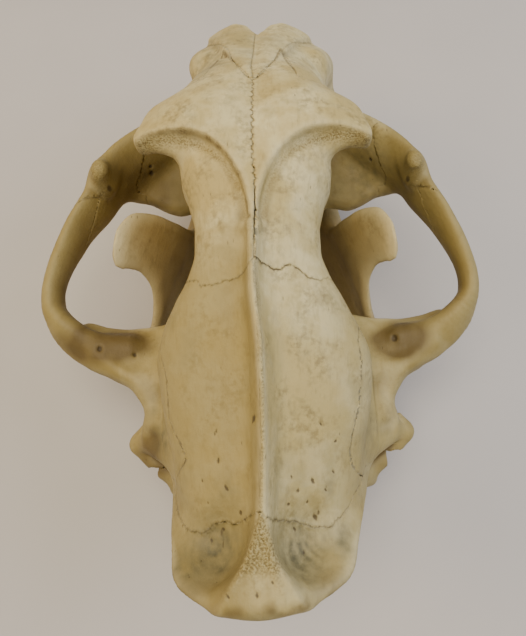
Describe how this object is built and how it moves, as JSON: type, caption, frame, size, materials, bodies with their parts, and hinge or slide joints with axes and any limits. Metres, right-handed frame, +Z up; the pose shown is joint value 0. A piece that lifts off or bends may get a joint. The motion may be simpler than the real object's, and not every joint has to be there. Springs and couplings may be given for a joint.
{
  "type": "big cat skull",
  "caption": "Cleaned skull of a leopard with its lower jaw in place: long sagittal crest, wide cheek arches, closed jaws with long canine teeth.",
  "frame": {"origin": "on the table under the middle of the skull's bounding box", "axes": "+Z up, the snout points towards -Y, +X is the skull's own left"},
  "size_m": [0.1552, 0.235, 0.1127],
  "materials": {
    "cranium_bone": "aged, cleaned bone: matt cream with tan and grey stains",
    "jaw_bone": "aged, cleaned bone: matt ochre tan",
    "teeth": "ivory tooth enamel, half gloss, yellowed towards the root"
  },
  "bodies": {
    "root": {"braincase": "cranium_bone", "temporal_left": "cranium_bone", "temporal_right": "cranium_bone", "frontal": "cranium_bone", "occipital": "cranium_bone", "muzzle": "cranium_bone", "zygomatic_left": "cranium_bone", "zygomatic_right": "cranium_bone", "mandible_left": "jaw_bone", "mandible_right": "jaw_bone"}
  },
  "joints": []
}
